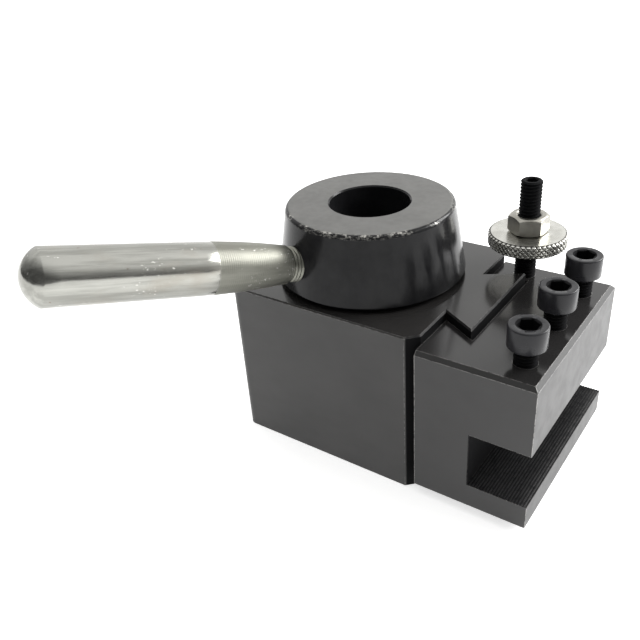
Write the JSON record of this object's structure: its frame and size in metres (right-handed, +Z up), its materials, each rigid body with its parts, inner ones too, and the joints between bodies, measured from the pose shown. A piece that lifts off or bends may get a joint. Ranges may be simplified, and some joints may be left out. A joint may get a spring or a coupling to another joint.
{
  "type": "quick change tool post",
  "caption": "Small lathe quick change tool post: dovetail block with a cam cap and lever handle, and a dovetail tool holder with clamp screws and height nuts.",
  "frame": {"origin": "axis of the post's stud bore, in the plane of its bottom face", "axes": "+Z up along the stud bore; +X towards the dovetail and the tool holder; -Y towards the side where the released lever stands"},
  "size_m": [0.1068, 0.1224, 0.0843],
  "materials": {
    "black_oxide": "satin",
    "gloss_black": "gloss",
    "bright_steel": "brushed",
    "ground_steel": "satin",
    "nickel": "gloss"
  },
  "bodies": {
    "post": {"post_body": "black_oxide", "centre_sleeve": "ground_steel", "cam_thrust_washer": "ground_steel", "cap_thrust_washer": "ground_steel", "retaining_ring": "black_oxide", "cam_stop_screw": "black_oxide", "piston_spring": "ground_steel"},
    "lever": {"lever_cap": "gloss_black", "clamp_cam": "ground_steel", "cap_drive_pin_left": "ground_steel", "cap_drive_pin_right": "ground_steel", "lever_handle": "bright_steel"},
    "piston": {"clamp_piston": "ground_steel"},
    "holder": {"tool_holder": "black_oxide", "height_stud": "black_oxide"},
    "screw_front": {"clamp_screw_front": "black_oxide"},
    "screw_middle": {"clamp_screw_middle": "black_oxide"},
    "screw_rear": {"clamp_screw_rear": "black_oxide"},
    "height_nut": {"knurled_height_nut": "bright_steel"},
    "lock_nut": {"height_lock_nut": "nickel"}
  },
  "joints": [
    {"name": "lever_turn", "type": "hinge", "parent": "post", "child": "lever", "pos_m": [0, 0, 0], "axis": [0, 0, 1], "range_deg": [-90, 0]},
    {"name": "piston_slide", "type": "slide", "parent": "post", "child": "piston", "axis": [1, 0, 0], "range_m": [0, 0.0008], "deforming": ["piston_spring"]},
    {"name": "holder_lift", "type": "slide", "parent": "post", "child": "holder", "axis": [0, 0, 1], "range_m": [-0.0032, 0.055]},
    {"name": "screw_front_travel", "type": "slide", "parent": "holder", "child": "screw_front", "axis": [0, 0, 1], "range_m": [-0.0045, 0.01]},
    {"name": "screw_middle_travel", "type": "slide", "parent": "holder", "child": "screw_middle", "axis": [0, 0, 1], "range_m": [-0.0055, 0.01]},
    {"name": "screw_rear_travel", "type": "slide", "parent": "holder", "child": "screw_rear", "axis": [0, 0, 1], "range_m": [-0.0055, 0.01]},
    {"name": "height_nut_travel", "type": "slide", "parent": "holder", "child": "height_nut", "axis": [0, 0, 1], "range_m": [-0.0038, 0.009]},
    {"name": "lock_nut_travel", "type": "slide", "parent": "holder", "child": "lock_nut", "axis": [0, 0, 1], "range_m": [-0.0038, 0.009]}
  ],
  "couplings": [
    {"joint": "piston_slide", "follows": "lever_turn", "m_per_rad": -0.0005093},
    {"joint": "lock_nut_travel", "follows": "height_nut_travel", "ratio": 1}
  ]
}
